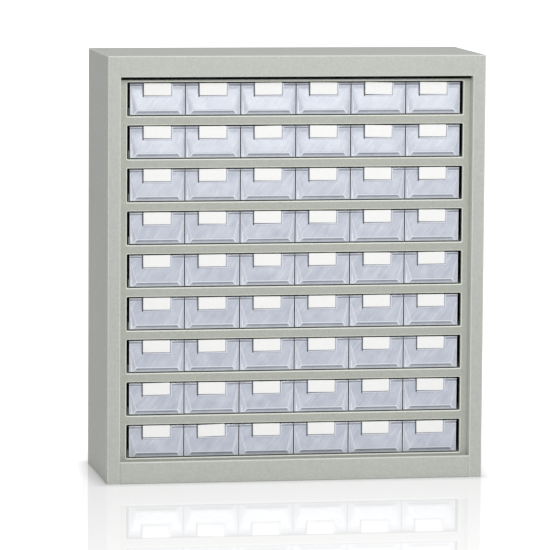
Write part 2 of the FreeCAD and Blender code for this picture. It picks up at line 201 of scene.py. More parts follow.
class Coating(Graph):
    """The node tree of a material."""

    def place(self):
        """Coordinates that move with the piece."""
        return self.wire("ShaderNodeTexCoord", output="Object")

    def mark(self, name):
        """A value that the mesh carries."""
        return self.wire("ShaderNodeAttribute", dict(attribute_name=name), output="Fac")

    def noise(self, vector, scale, detail, roughness=0.5, distortion=0.0):
        """Soft random values around one half."""
        return self.wire("ShaderNodeTexNoise", None, {
            "Vector": vector, "Scale": scale, "Detail": detail, "Roughness": roughness,
            "Distortion": distortion}, output="Fac")

    def mixed(self, share, first, second):
        """The first colour, turning into the second as the share grows."""
        return self.wire("ShaderNodeMix", dict(data_type="RGBA"), {0: share, 6: first, 7: second}, output=2)

    def scaled(self, base, shade):
        """A colour made lighter or darker."""
        return self.wire("ShaderNodeVectorMath", dict(operation="SCALE"), {0: base[:3], "Scale": shade})

    def bump(self, strength, distance, height):
        """Fine relief that only bends the light."""
        return self.wire("ShaderNodeBump", None, {
            "Strength": strength, "Distance": distance, "Height": height}, output="Normal")

    def finish(self, sockets):
        """End the tree with one surface shader."""
        shader = self.wire("ShaderNodeBsdfPrincipled", None, sockets)
        self.node("ShaderNodeOutputMaterial", None, {"Surface": shader})


def colour(red, green, blue):
    """Turn screen values from 0 to 255 into the linear colour that a shader takes."""
    def linear(value):
        part = value / 255
        return part / 12.92 if part <= 0.04045 else ((part + 0.055) / 1.055) ** 2.4
    return (linear(red), linear(green), linear(blue), 1.0)


print("white is", [round(v, 2) for v in colour(255, 255, 255)])

# %% [markdown]
# ## Air and floor
# The room is even, pale light. What the camera, a gloss or a clear piece sees of it is plain white, while
# the light that it throws on the cabinet is weaker, so the shadows stay.

# %% Fill the room with air
AIR_LIGHT, FLOOR_LIGHT, GLOSS_SHARE = 0.50, 0.42, 0.45
world = bpy.data.worlds.new("studio_air")
world.use_nodes = True
scene.world = world
world.node_tree.nodes.clear()
air = Graph(world.node_tree)


def seen_directly(graph):
    """One for rays that show a surface straight, mirrored or through a wall, less in a satin gloss."""
    ray = graph.node("ShaderNodeLightPath")
    ways = ("Camera", "Singular", "Transmission", "Glossy")
    plain, mirror, through, gloss = [Wire(graph, ray.outputs[f"Is {way} Ray"]) for way in ways]
    return plain.at_least(mirror).at_least(through).at_least(gloss * GLOSS_SHARE)


white_air = air.wire("ShaderNodeBackground", None, {
    "Color": (1, 1, 1, 1), "Strength": AIR_LIGHT + seen_directly(air) * (1 - AIR_LIGHT)})
air.node("ShaderNodeOutputWorld", None, {"Surface": white_air})
print("air light:", AIR_LIGHT)

# %% [markdown]
# The floor is a white gloss board. Where the cabinet touches it, a painted contact shadow makes the board
# darker. Close to the cabinet it shows a soft shadow, deepened by a painted shadow, and a weak mirror
# image.
# To the sides it turns into the white of the room at once, in front more slowly, so no edge of the board
# shows. The sides of this strip run forward at the slope of the line of sight.

# %% Lay the floor
SIGHT_SLOPE = 0.16
BOARD_WHITE, BOARD_GLOW = 0.93, 1.3
# Two painted shadows darken the board at the cabinet's foot: a narrow, dark one and a wider, soft one.
CONTACT_WIDTH, PAINTED_CONTACT_SHADOW = 0.005, 0.40
SHADOW_WIDTH, PAINTED_SOFT_SHADOW, SHADOW_HOLD = 0.03, 0.25, 0.15
BASE_FADE, SIDE_FADE, FRONT_FADE, FRONT_END, REAR_FADE = 0.35, 0.07, 8, 1.2, 0.5
BOARD_HALF, BOARD_REAR = 12, 30


def blank_material(name):
    """An empty material and its graph."""
    made = bpy.data.materials.new(name)
    made.use_nodes = True
    made.node_tree.nodes.clear()
    return made, Coating(made.node_tree)


def floor_material():
    """White gloss board with a painted shadow at the cabinet's foot, that turns into the room's white
    further out.
    """
    made, graph = blank_material("white_board")
    spot = graph.node("ShaderNodeSeparateXYZ", None, {0: graph.place()})
    across, along = Wire(graph, spot.outputs[0]), Wire(graph, spot.outputs[1])
    before, behind = (FRONT - along).at_least(0.0), (along - BACK).at_least(0.0)
    aside = (across.at_least(-across) - CASE_HALF).at_least(0.0)
    squares = aside * aside + before * before + behind * behind
    gap = squares.sum_with("POWER", squares, 0.5)
    touching, near = (1 - gap / CONTACT_WIDTH).between(), (1 - gap / SHADOW_WIDTH).between()
    # Painted shadow: the board's white is made darker close to the cabinet's foot.
    white = BOARD_WHITE - (touching * PAINTED_CONTACT_SHADOW + near * PAINTED_SOFT_SHADOW)
    tint = graph.wire("ShaderNodeCombineXYZ", None, {0: white, 1: white, 2: white})
    board = graph.wire("ShaderNodeBsdfPrincipled", None, {
        "Base Color": tint, "Roughness": 0.0, "IOR": 1.45, "Specular IOR Level": 0.5})
    glow = graph.wire("ShaderNodeEmission", None, {
        "Color": (1, 1, 1, 1), "Strength": FLOOR_LIGHT + seen_directly(graph) * (BOARD_GLOW - FLOOR_LIGHT)})
    reach = (BACK - FRONT) * SIGHT_SLOPE / 2
    askew = across - (along - BACK) * SIGHT_SLOPE - reach
    beside = (askew.at_least(-askew) - (CASE_HALF + reach)).at_least(0.0)
    far = before / FRONT_FADE + (before - FRONT_END).at_least(0.0) + behind / REAR_FADE
    fade = (BASE_FADE - near * SHADOW_HOLD + beside / SIDE_FADE + far).between()
    surface = graph.wire("ShaderNodeMixShader", None, {0: fade, 1: board, 2: glow})
    graph.node("ShaderNodeOutputMaterial", None, {"Surface": surface})
    return made


floor_mesh = bpy.data.meshes.new("floor_board")
floor_mesh.from_pydata([(-BOARD_HALF, -BOARD_HALF, 0), (BOARD_HALF, -BOARD_HALF, 0),
                        (BOARD_HALF, BOARD_REAR, 0), (-BOARD_HALF, BOARD_REAR, 0)], [], [(0, 1, 2, 3)])
floor = bpy.data.objects.new("floor_board", floor_mesh)
floor_mesh.materials.append(floor_material())
scene.collection.objects.link(floor)
print("floor laid")

# %% [markdown]
# ## Powder coat
# Powder is baked on the steel and flows into a satin skin with a fine orange peel. Over a bend it gets a
# painted highlight, and it is never quite even over a large panel. Noise in object coordinates gives the
# peel and the cloudiness, and an attribute that the meshes carry marks the bends for the painted highlight.

# %% Mix the powder coat
BEND_HIGHLIGHT_MARK = "bend"


def powder_coat(name, base, bend_highlight_gain=0.28):
    """Satin powder paint: a fine peel, a sprayed speckle, faint clouds and a painted highlight on the
    bends.
    """
    made, graph = blank_material(name)
    place, bend = graph.place(), graph.mark(BEND_HIGHLIGHT_MARK)
    sprayed = graph.wire("ShaderNodeMapping", None, {"Vector": place, "Scale": (1, 0.4, 1)})
    peel, cloud = graph.noise(place, 950, 2), graph.noise(place, 9, 2)
    grain = graph.noise(sprayed, 280, 2, 0.7)
    # The bend mark adds a painted highlight to the colour.
    shade = 1 + (grain - 0.5) * 0.34 + (cloud - 0.5) * 0.07 + bend * bend_highlight_gain
    graph.finish({
        "Base Color": graph.scaled(base, shade), "Roughness": 0.42 + (cloud - 0.5) * 0.12 - bend * 0.10,
        "Normal": graph.bump(0.22, 0.00025, peel * 0.6 + grain * 0.4), "IOR": 1.5,
        "Specular IOR Level": 0.42})
    return made


# The face frame takes a darker copy of the same paint, as painted shade for its recess, and a stronger
# painted highlight on its rolled edges.
GREY_GREEN, FRAME_SHADE_GREEN = colour(193, 196, 189), colour(182, 185, 176)
cabinet_paint = powder_coat("cabinet_powder_coat", GREY_GREEN)
shaded_frame_paint = powder_coat("face_frame_coat_painted_shade", FRAME_SHADE_GREEN, bend_highlight_gain=0.70)
print("paint:", [round(v, 3) for v in GREY_GREEN[:3]])

# %% [markdown]
# Inside, the same powder carries the marks of use: a drawer that is pulled a thousand times rubs paler,
# smoother scratches into its shelf. Noise that is stretched along the depth draws them.

# %% Mix the worn inner coat
def slid_powder_coat(name, base):
    """Powder paint with pale scratches where drawers slide."""
    made, graph = blank_material(name)
    place = graph.place()
    stretched = graph.wire("ShaderNodeMapping", None, {"Vector": place, "Scale": (520, 7, 520)})
    scratches, grain = graph.noise(stretched, 1.0, 3, 0.6), graph.noise(place, 430, 3, 0.65)
    worn = ((scratches - 0.56) * 7).between()
    shade = 1 + (grain - 0.5) * 0.10 + worn * 0.16
    graph.finish({
        "Base Color": graph.scaled(base, shade), "Roughness": 0.46 - worn * 0.16,
        "Normal": graph.bump(0.2, 0.0002, grain - worn * 0.3), "IOR": 1.5, "Specular IOR Level": 0.42})
    return made


inner_paint = slid_powder_coat("inner_powder_coat", GREY_GREEN)
print("inner coat ready")

# %% [markdown]
# ## Clear plastic
# The drawers are moulded from clear polystyrene that looks milky and a little blue from in front, because
# light runs through its walls. Flow lines from the mould stand in it as slanted streaks, its edges get a
# painted highlight and its gaps painted shade, and the surface is glossy with fine scuffs.

# %% Mix the drawer plastic
# One attribute carries painted light: above zero a painted highlight, below zero painted shade.
PAINTED_LIGHT_MARK = "edge_light"
MILKY_BLUE, MILKY_WHITE, PAINTED_SHADE_BLUE = colour(182, 188, 203), colour(213, 218, 228), colour(74, 76, 84)
PAINTED_HIGHLIGHT_BLUE = (0.87, 0.90, 0.98, 1)


def drawer_plastic(name):
    """Milky clear plastic with slanted flow lines, painted highlights on its edges and painted shade in its
    gaps.
    """
    made, graph = blank_material(name)
    place, edge = graph.place(), graph.mark(PAINTED_LIGHT_MARK)
    slanted = graph.wire("ShaderNodeMapping", dict(vector_type="TEXTURE"), {
        "Vector": place, "Rotation": (0, math.radians(38), 0), "Scale": (0.0045, 0.02, 0.035)})
    flow = graph.noise(slanted, 1.0, 3, 0.55, distortion=0.4)
    patches, scuffs = graph.noise(place, 55, 2), graph.noise(place, 700, 2, 0.6)
    milk = ((flow - 0.5) * 1.1 + (patches - 0.5) * 1.2 + 0.42).between()
    # The shares of painted highlight and painted shade, mixed into the colour below.
    bright, deep = edge.between(), (-edge).between()
    body = graph.mixed(milk, MILKY_BLUE, MILKY_WHITE)
    graph.finish({
        "Base Color": graph.mixed(deep, graph.mixed(bright, body, PAINTED_HIGHLIGHT_BLUE), PAINTED_SHADE_BLUE),
        "Roughness": 0.24 + (flow - 0.5) * 0.25 + deep * 0.5,
        "Normal": graph.bump(0.25, 0.0003, flow * 0.35 + scuffs * 0.12), "IOR": 1.5,
        "Coat Weight": 0.25 - deep * 0.25, "Coat Roughness": 0.08})
    return made


tray_plastic = drawer_plastic("drawer_plastic")
print("plastic:", [round(v, 3) for v in MILKY_BLUE[:3]])

# %% [markdown]
# ## Card
# The label cards are blank, heavy white paper. Fibres make it slightly uneven and quite matt.

# %% Mix the paper
PAPER_WHITE = (0.99, 0.99, 0.98)


def card_paper(name):
    """Matt white paper with fibres and a faintly uneven pulp."""
    made, graph = blank_material(name)
    place = graph.place()
    fibres, pulp = graph.noise(place, 1400, 3, 0.7), graph.noise(place, 160, 2)
    shade = 1 + (fibres - 0.5) * 0.06 + (pulp - 0.5) * 0.05
    graph.finish({
        "Base Color": graph.scaled(PAPER_WHITE, shade), "Roughness": 0.85 + (pulp - 0.5) * 0.1,
        "Normal": graph.bump(0.3, 0.0001, fibres), "Specular IOR Level": 0.25})
    return made


label_paper = card_paper("label_card_paper")
print("paper ready")

# %% [markdown]
# ## Folded sheet
# A pressed-metal part is one thin sheet with bends. So its outer skin is drawn first, as flat panels that
# share edges. Every edge where two panels meet at an angle is rounded to the bend radius, and only then
# does the skin get its thickness, inwards. The bends are marked for a painted highlight, and so are the
# narrow returns beside the mouth, which get painted light against their shade.

# %% Write the sheet folder
BEND_RADIUS = millimetres(1.7)
BEND_STEPS, LEAST_BEND, SHEET_SHARP = 4, 0.6, 32
WELDED = 1e-6


def flat(corners):
    """A panel from its corner points."""
    return [Vector(corner) for corner in corners]


def cut_span(low, high, cuts):
    """The range from low to high with the cuts that fall inside it."""
    low, high = min(low, high), max(low, high)
    return [low] + [cut for cut in sorted(cuts) if low + WELDED < cut < high - WELDED] + [high]


def panel_grid(kept_axis, level, first, second, cuts):
    """Flat panels square to one axis (0, 1 or 2), split wherever another panel's edge meets them."""
    axes = [axis for axis in range(3) if axis != kept_axis]
    across, along = cut_span(*first, cuts[axes[0]]), cut_span(*second, cuts[axes[1]])
    panels = []
    for low, high in zip(across, across[1:]):
        for under, over in zip(along, along[1:]):
            corners = []
            for a, b in ((low, under), (high, under), (high, over), (low, over)):
                point = [0, 0, 0]
                point[kept_axis], point[axes[0]], point[axes[1]] = level, a, b
                corners.append(point)
            panels.append(flat(corners))
    return panels


def outward(work, reference):
    """Turn a skin so that its face nearest to the reference point looks along the reference direction."""
    bmesh.ops.recalc_face_normals(work, faces=work.faces)
    point, direction = reference
    nearest = min(work.faces, key=lambda face: (face.calc_center_median() - Vector(point)).length)
    if nearest.normal.dot(Vector(direction)) < 0:
        bmesh.ops.reverse_faces(work, faces=work.faces)


def piece_from(work, name):
    """A piece with the shape of a working mesh, which is freed."""
    mesh = bpy.data.meshes.new(name)
    work.to_mesh(mesh)
    work.free()
    piece = bpy.data.objects.new(name, mesh)
    scene.collection.objects.link(piece)
    return piece


def thicken(piece, gauge, even=True):
    """Give a skin its thickness, inwards."""
    skin = piece.modifiers.new("thickness", "SOLIDIFY")
    skin.thickness, skin.offset, skin.use_even_offset = gauge, -1, even


def plain_mesh(piece):
    """Work a piece's modifiers into its mesh and remove them."""
    shaped = bpy.data.meshes.new_from_object(piece.evaluated_get(bpy.context.evaluated_depsgraph_get()))
    piece.modifiers.clear()
    old, piece.data = piece.data, shaped
    bpy.data.meshes.remove(old)
    shaped.name = piece.name
    return shaped


def smooth_to(piece, degrees):
    """Smooth shading that keeps large faces even, broken at edges sharper than the angle."""
    piece.data.shade_smooth()
    piece.data.set_sharp_from_angle(angle=math.radians(degrees))
    piece.modifiers.new("even_shading", "WEIGHTED_NORMAL").keep_sharp = True
    return plain_mesh(piece)


def fold_sheet(name, panels, reference, material, relief=False):
    """One folded sheet from flat panels: rounded bends, even thickness, closed edges."""
    work = bmesh.new()
    for panel in panels:
        work.faces.new([work.verts.new(corner) for corner in panel])
    bmesh.ops.remove_doubles(work, verts=work.verts, dist=WELDED)
    outward(work, reference)
    mark = work.faces.layers.float.new(BEND_HIGHLIGHT_MARK)
    bends = [edge for edge in work.edges
             if len(edge.link_faces) == 2 and edge.calc_face_angle(0) > LEAST_BEND]
    corners = [vert.co.copy() for vert in work.verts if sum(edge in bends for edge in vert.link_edges) == 3]
    made = bmesh.ops.bevel(work, geom=bends, offset=BEND_RADIUS, segments=BEND_STEPS, profile=0.5,
                           affect="EDGES")
    # Bends carry the mark for a painted highlight.
    for face in made["faces"]:
        face[mark] = 1.0
    # The returns beside the mouth carry it too, as painted light against their shade.
    for face in work.faces:
        middle = face.calc_center_median()
        beside_the_mouth = abs(middle.x) < CASE_HALF - STILE / 2 and middle.y < FACE_FRONT
        if abs(face.normal.x) > 0.9 and beside_the_mouth:
            face[mark] = 1.0
    if relief:
        reach = BEND_RADIUS * 0.95
        holes = [face for face in made["faces"] if min(abs(part) for part in face.normal) > 0.3
                 and any((face.calc_center_median() - corner).length < reach for corner in corners)]
        bmesh.ops.delete(work, geom=holes, context="FACES")
        print(name, "relief faces:", len(holes))
    piece = piece_from(work, name)
    piece.data.materials.append(material)
    thicken(piece, SHEET)
    plain_mesh(piece)
    mesh = smooth_to(piece, SHEET_SHARP)
    print(name, "bends:", len(bends), "faces:", len(mesh.polygons))
    return piece


print("bend radius:", BEND_RADIUS)

# %% [markdown]
# ## Casing
# The top and both sides are one sheet, wrapped over. Its front edges are folded in as a header and two
# stiles, and these are folded back once more, so the raw edge is out of sight. The header butts against
# the stiles with a hairline gap. Where three bends meet, the sheet is cut away a little, which leaves a
# tiny dark hole.

# %% Fold the casing
BACK_LIP, HEADER_RETURN = millimetres(12), millimetres(10)
LIP_PLANE = BACK - SHEET
MOUTH_TOP = CASE_HEIGHT - HEADER
HAIRLINE = millimetres(0.2)


def casing_panels():
    """Panels of the wrap, the stiles, the header, their returns and the lips around the back."""
    rear = CASE_HALF - BACK_LIP
    cuts = ((-rear, -MOUTH_HALF, MOUTH_HALF, rear), (), (MOUTH_TOP, CASE_HEIGHT - BACK_LIP))
    panels = panel_grid(2, CASE_HEIGHT, (-CASE_HALF, CASE_HALF), (FRONT, LIP_PLANE), cuts)
    for side in (-1, 1):
        edge, mouth = side * CASE_HALF, side * MOUTH_HALF
        panels += panel_grid(0, edge, (FRONT, LIP_PLANE), (0, CASE_HEIGHT), cuts)
        panels += panel_grid(1, FRONT, (edge, mouth), (0, CASE_HEIGHT), cuts)
        panels += panel_grid(0, mouth, (FRONT, FACE_FRONT), (0, MOUTH_TOP), cuts)
        panels += panel_grid(1, LIP_PLANE, (edge, side * rear), (0, CASE_HEIGHT), cuts)
    panels += panel_grid(1, LIP_PLANE, (-rear, rear), (CASE_HEIGHT - BACK_LIP, CASE_HEIGHT), cuts)
    foot = MOUTH_HALF - HAIRLINE
    middle = [z for z in cuts[2] if z > MOUTH_TOP]
    panels += header_panels(foot, [CASE_HEIGHT] + middle[::-1] + [MOUTH_TOP])
    back = FRONT + HEADER_RETURN
    panels.append(flat([(-foot, FRONT, MOUTH_TOP), (foot, FRONT, MOUTH_TOP),
                        (foot, back, MOUTH_TOP), (-foot, back, MOUTH_TOP)]))
    return panels


def header_panels(foot, levels):
    """The header, a hair narrower towards its lower edge."""
    top, bottom = levels[0], levels[-1]
    half = [MOUTH_HALF + (foot - MOUTH_HALF) * (top - level) / (top - bottom) for level in levels]
    rows = list(zip(half, levels))
    return [flat([(-a, FRONT, z), (a, FRONT, z), (b, FRONT, y), (-b, FRONT, y)])
            for (a, z), (b, y) in zip(rows, rows[1:])]


casing = fold_sheet("casing_wrap", casing_panels(), ((0, 0, CASE_HEIGHT), (0, 0, 1)), cabinet_paint,
                    relief=True)
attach(casing, CABINET)
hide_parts("outer_wrap")

# %% [markdown]
# ## Floor of the casing
# One more sheet closes the casing underneath. In front it stands up as the sill and ends in a short fold
# to the rear, and behind it ends in a lip for the back panel.

# %% Fold the floor and the sill
SILL_GAP, SILL_NOTCH, SILL_RETURN = millimetres(0.15), millimetres(4), millimetres(7)


def sill_panels():
    """Panels of the floor, the sill, its return and the rear lip."""
    half, sill_half = CASE_HALF - SHEET, MOUTH_HALF - SILL_GAP
    lip_half, notch = half - BACK_LIP, FRONT + SILL_NOTCH
    cuts = ((-lip_half, -sill_half, sill_half, lip_half), (notch,), ())
    panels = panel_grid(2, 0, (-sill_half, sill_half), (FRONT, LIP_PLANE), cuts)
    for side in (-1, 1):
        panels += panel_grid(2, 0, (side * sill_half, side * half), (notch, LIP_PLANE), cuts)
    panels += panel_grid(1, FRONT, (-sill_half, sill_half), (0, SILL), cuts)
    panels += panel_grid(2, SILL, (-sill_half, sill_half), (FRONT, FRONT + SILL_RETURN), ((), (), ()))
    panels += panel_grid(1, LIP_PLANE, (-lip_half, lip_half), (0, BACK_LIP), cuts)
    return panels


sill = fold_sheet("floor_and_sill", sill_panels(), ((0, FRONT, SILL / 2), (0, -1, 0)), cabinet_paint)
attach(sill, CABINET)
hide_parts("bottom_panel")

# %% [markdown]
# ## Geometry Nodes, built in Python
# What repeats by a rule is made by a small Geometry Nodes tree with named sizes. The same graph class
# writes it, and the finished shape is turned into a plain mesh, so that the piece can be exported as it
# is.

# %% Write the shape recipe
class ShapeRecipe(Graph):
    """A Geometry Nodes tree with named lengths and counts."""

    def __init__(self, name, sizes):
        tree = bpy.data.node_groups.new(name, "GeometryNodeTree")
        super().__init__(tree)
        self.sizes, self.keys = sizes, {}
        tree.interface.new_socket("Shape", in_out="OUTPUT", socket_type="NodeSocketGeometry")
        for label, value in sizes.items():
            kind = "NodeSocketInt" if isinstance(value, int) else "NodeSocketFloat"
            self.keys[label] = tree.interface.new_socket(label, in_out="INPUT", socket_type=kind).identifier
        self.entry = tree.nodes.new("NodeGroupInput")

    def size(self, label):
        """One of the named sizes, as a wire."""
        return Wire(self, self.entry.outputs[label])

    def step(self, kind, inputs, **settings):
        """One step of the recipe: a Geometry Nodes node by its short name."""
        return self.wire("GeometryNode" + kind, settings, inputs)

    def joined(self, *parts):
        """Several shapes as one."""
        return self.step("JoinGeometry", {0: list(parts)})

    def point(self, across=0.0, up=0.0, out=0.0):
        """A vector from three numbers or wires."""
        return self.wire("ShaderNodeCombineXYZ", None, {0: across, 1: up, 2: out})

    def moved(self, shape, *place):
        """A shape in another place."""
        return self.step("Transform", {"Geometry": shape, "Translation": self.point(*place)})

    def stood(self, shape, *place, turn=0.0):
        """A flat shape, stood up, turned round the upright axis and moved."""
        return self.step("Transform", {
            "Geometry": shape, "Rotation": (math.pi / 2, 0, turn), "Translation": self.point(*place)})

    def copied(self, shape, places):
        """A copy of a shape at every point."""
        return self.step("InstanceOnPoints", {"Points": places, "Instance": shape})

    def finish(self, shape, material):
        """Close the tree: make instances real, set the material and join the output."""
        real = self.step("RealizeInstances", {0: shape})
        painted = self.step("SetMaterial", {"Geometry": real, "Material": material})
        self.node("NodeGroupOutput", None, {"Shape": painted})

    def make(self, name, gauge=0.0):
        """Run the tree once on an empty piece, thicken a skin to its gauge and keep a plain mesh."""
        piece = bpy.data.objects.new(name, bpy.data.meshes.new(name))
        scene.collection.objects.link(piece)
        run = piece.modifiers.new("recipe", "NODES")
        run.node_group = self.tree
        for label, value in self.sizes.items():
            run[self.keys[label]] = value
        if gauge:
            thicken(piece, gauge)
        plain_mesh(piece)
        mesh = smooth_to(piece, SHEET_SHARP)
        print(name, "faces:", len(mesh.polygons))
        return piece


print("recipes ready")

# %% [markdown]
# ## Face frame
# One sheet with nine pressed openings stands behind the stiles. Around each opening the metal rolls
# inwards, and that rolled edge carries a painted highlight. The recipe fills the sheet around nine rounded
# outlines, then sweeps a section, a quarter round and a short straight, along each outline. The sheet
# lies flat at first, then is stood up.

# %% Write the face frame recipe
def face_frame_recipe(material):
    """A flat sheet with rolled openings. Two axes lie in the sheet, and the third points out of it."""
    recipe = ShapeRecipe("face_frame_recipe", {
        "Width": 0.5626, "Foot": SHEET, "Head": 0.616, "Rows": ROWS, "Row pitch": ROW_PITCH,
        "Lowest edge": LOWEST_OPENING, "Opening width": 2 * OPENING_HALF, "Opening height": OPENING_HEIGHT,
        "Corner": 0.0015, "Roll": 0.0016, "Flange": 0.007, "Front": FACE_FRONT})
    size, point = recipe.size, recipe.point
    roll = size("Roll")
    middle = size("Lowest edge") + size("Opening height") * 0.5

    def outline(extra):
        """A rounded opening outline that stands off by extra all round."""
        box = recipe.step("CurvePrimitiveQuadrilateral", {
            "Width": size("Opening width") + extra * 2, "Height": size("Opening height") + extra * 2})
        return recipe.step("FilletCurve", {
            "Curve": box, "Radius": size("Corner") + extra, "Count": 7}, mode="POLY")

    def at_rows(shape):
        """A copy of the shape at every row."""
        places = recipe.step("MeshLine", {
            "Count": size("Rows"), "Start Location": point(0.0, middle),
            "Offset": point(0.0, size("Row pitch"))})
        return recipe.step("RealizeInstances", {0: recipe.copied(shape, places)})

    edge = recipe.step("CurvePrimitiveQuadrilateral", {
        "Width": size("Width"), "Height": size("Head") - size("Foot")})
    edge = recipe.moved(edge, 0.0, (size("Head") + size("Foot")) * 0.5)
    sheet = recipe.joined(edge, at_rows(outline(roll)))
    sheet = recipe.step("FillCurve", {"Curve": sheet}, mode="TRIANGLES")

    def straight(start, end):
        """A line between two points."""
        return recipe.step("CurvePrimitiveLine", {"Start": start, "End": end})

    corner = recipe.joined(straight(point(roll), point()), straight(point(), point(0.0, size("Flange"))))
    corner = recipe.step("CurveToMesh", {"Curve": corner})
    corner = recipe.step("MergeByDistance", {"Geometry": corner, "Distance": 1e-5})
    corner = recipe.step("MeshToCurve", {"Mesh": corner})
    section = recipe.step("FilletCurve", {"Curve": corner, "Radius": roll * 0.999, "Count": 5}, mode="POLY")
    rolled = recipe.step("CurveToMesh", {"Curve": outline(0.0), "Profile Curve": section})
    place = recipe.step("InputPosition", {})
    out = recipe.wire("ShaderNodeSeparateXYZ", None, {0: place}, output=2)
    # The rolled faces carry the bend mark, for a painted highlight in the paint.
    rolled = recipe.step("StoreNamedAttribute", {
        "Geometry": rolled, "Name": BEND_HIGHLIGHT_MARK, "Value": ((out + roll) * 1e5).between()},
        data_type="FLOAT", domain="FACE")
    recipe.finish(recipe.stood(recipe.joined(sheet, at_rows(rolled)), 0.0, size("Front")), material)
    return recipe


face_frame = face_frame_recipe(shaded_frame_paint).make("face_frame_sheet", gauge=SHEET)
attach(face_frame, CABINET)
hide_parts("face_frame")

# %% [markdown]
# ## Back panel
# The back is a flat sheet, spot-welded to the lips all round, with four holes for wall screws. The welds
# show as rows of shallow round marks. They repeat at one pitch, so a recipe places them along the edge.

# %% Write the back panel recipe
WELD_FLATNESS = 0.075


def back_panel_recipe(material):
    """A flat sheet with wall holes and a ring of weld marks; laid flat, then stood up facing backwards."""
    recipe = ShapeRecipe("back_panel_recipe", {
        "Half width": CASE_HALF - SHEET, "Foot": SHEET, "Head": CASE_HEIGHT - SHEET, "Gauge": BACK_SHEET,
        "Hole radius": 0.003, "Holes across": 0.5, "Holes up": 0.55, "Hole middle": CASE_HEIGHT / 2,
        "Welds across": 11, "Welds up": 12, "Weld margin": 0.0065, "Weld radius": 0.0026, "Rear": BACK})
    size, point = recipe.size, recipe.point
    middle = (size("Head") + size("Foot")) * 0.5
    edge = recipe.step("CurvePrimitiveQuadrilateral", {
        "Width": size("Half width") * 2, "Height": size("Head") - size("Foot")})
    edge = recipe.moved(edge, 0.0, middle)
    holes = recipe.step("MeshGrid", {
        "Size X": size("Holes across"), "Size Y": size("Holes up"), "Vertices X": 2, "Vertices Y": 2})
    ring = recipe.step("CurvePrimitiveCircle", {"Resolution": 32, "Radius": size("Hole radius")})
    holes = recipe.copied(ring, recipe.moved(holes, 0.0, size("Hole middle")))
    holes = recipe.step("RealizeInstances", {0: holes})
    sheet = recipe.step("FillCurve", {"Curve": recipe.joined(edge, holes)}, mode="TRIANGLES")
    sheet = recipe.step("ExtrudeMesh", {
        "Mesh": sheet, "Offset Scale": size("Gauge"), "Individual": False}, mode="FACES")
    margin = size("Weld margin")
    wide, tall = size("Half width") - margin, (size("Head") - size("Foot")) * 0.5 - margin

    def weld_row(count, start, step):
        """Evenly spaced points along one side."""
        return recipe.step("MeshLine", {"Count": count, "Start Location": start, "Offset": step})

    across, up = wide * 2 / (size("Welds across") - 1), tall * 2 / (size("Welds up") - 1)
    rows = [weld_row(size("Welds across"), point(-wide, middle - tall), point(across)),
            weld_row(size("Welds across"), point(-wide, middle + tall), point(across)),
            weld_row(size("Welds up"), point(-wide, middle - tall), point(0.0, up)),
            weld_row(size("Welds up"), point(wide, middle - tall), point(0.0, up))]
    places = recipe.step("MergeByDistance", {"Geometry": recipe.joined(*rows), "Distance": 1e-4})
    weld = recipe.step("MeshUVSphere", {"Segments": 14, "Rings": 6, "Radius": size("Weld radius")})
    weld = recipe.step("Transform", {"Geometry": weld, "Scale": (1.0, 1.0, WELD_FLATNESS)})
    welds = recipe.moved(recipe.copied(weld, places), 0.0, 0.0, size("Gauge"))
    rear = size("Rear") - size("Gauge") - size("Weld radius") * WELD_FLATNESS
    recipe.finish(recipe.stood(recipe.joined(sheet, welds), 0.0, rear, turn=math.pi), material)
    return recipe


back_panel = back_panel_recipe(cabinet_paint).make("back_panel_sheet")
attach(back_panel, CABINET)
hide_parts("back_panel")

# %% [markdown]
# ## Shelves and guides
# The shelves are plain sheets, so the solids of the frame stay and only take the worn inner coat. The
# guides between the drawers are folded strips with a rounded back, the same one in sixty-three places: a
# grid of points with one strip on each.

# %% Paint the shelves
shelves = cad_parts["drawer_shelves"]
shelves.data.materials.clear()
shelves.data.materials.append(inner_paint)
print("shelf solids:", len(shelves.data.polygons), "triangles")


# %% Write the guide recipe
def guide_recipe(material):
    """Rounded strips on a grid, one between each two drawers and at both ends of a row."""
    recipe = ShapeRecipe("guide_recipe", {
        "Columns": COLUMNS + 1, "Rows": ROWS, "Column pitch": COLUMN_PITCH, "Row pitch": ROW_PITCH,
        "Lowest shelf": LOWEST_OPENING, "Thickness": 0.0012, "Height": 0.012,
        "Start": -0.086, "Length": 0.1825})
    size, point = recipe.size, recipe.point
    section = recipe.step("CurvePrimitiveQuadrilateral", {
        "Width": size("Thickness"), "Height": size("Height")})
    section = recipe.step("FilletCurve", {
        "Curve": section, "Radius": size("Thickness") * 0.45, "Count": 3}, mode="POLY")
    run = recipe.step("CurvePrimitiveLine", {"Start": point(), "End": point(0.0, size("Length"))})
    strip = recipe.step("CurveToMesh", {"Curve": run, "Profile Curve": section, "Fill Caps": True})
    wide, tall = size("Column pitch") * (size("Columns") - 1), size("Row pitch") * (size("Rows") - 1)
    grid = recipe.step("MeshGrid", {
        "Size X": wide, "Size Y": tall, "Vertices X": size("Columns"), "Vertices Y": size("Rows")})
    middle = size("Lowest shelf") + tall * 0.5 + size("Height") * 0.5
    recipe.finish(recipe.copied(strip, recipe.stood(grid, 0.0, size("Start"), middle)), material)
    return recipe


guides = guide_recipe(inner_paint).make("guide_strips")
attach(guides, CABINET)
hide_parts("drawer_guides")

# %% [markdown]
# ## Drawer
# Each drawer is one moulding: a front plate with a sloped rim, a faceted finger grip that swells towards
# its ridge, a shallow holder for the card, and the open tray behind with two small ears that stop it
# being pulled right out. It is built once from simple closed blocks. Their outer edges are rounded first,
# then the blocks are joined and cut by booleans. The directions of the flat faces are kept, so that the
# rounded ones can be told apart.

# %% Build blocks for the moulding
FLAT_DIRECTIONS = []


def all_of(work):
    """Everything in a working mesh, as the cutting step wants it."""
    return work.verts[:] + work.edges[:] + work.faces[:]


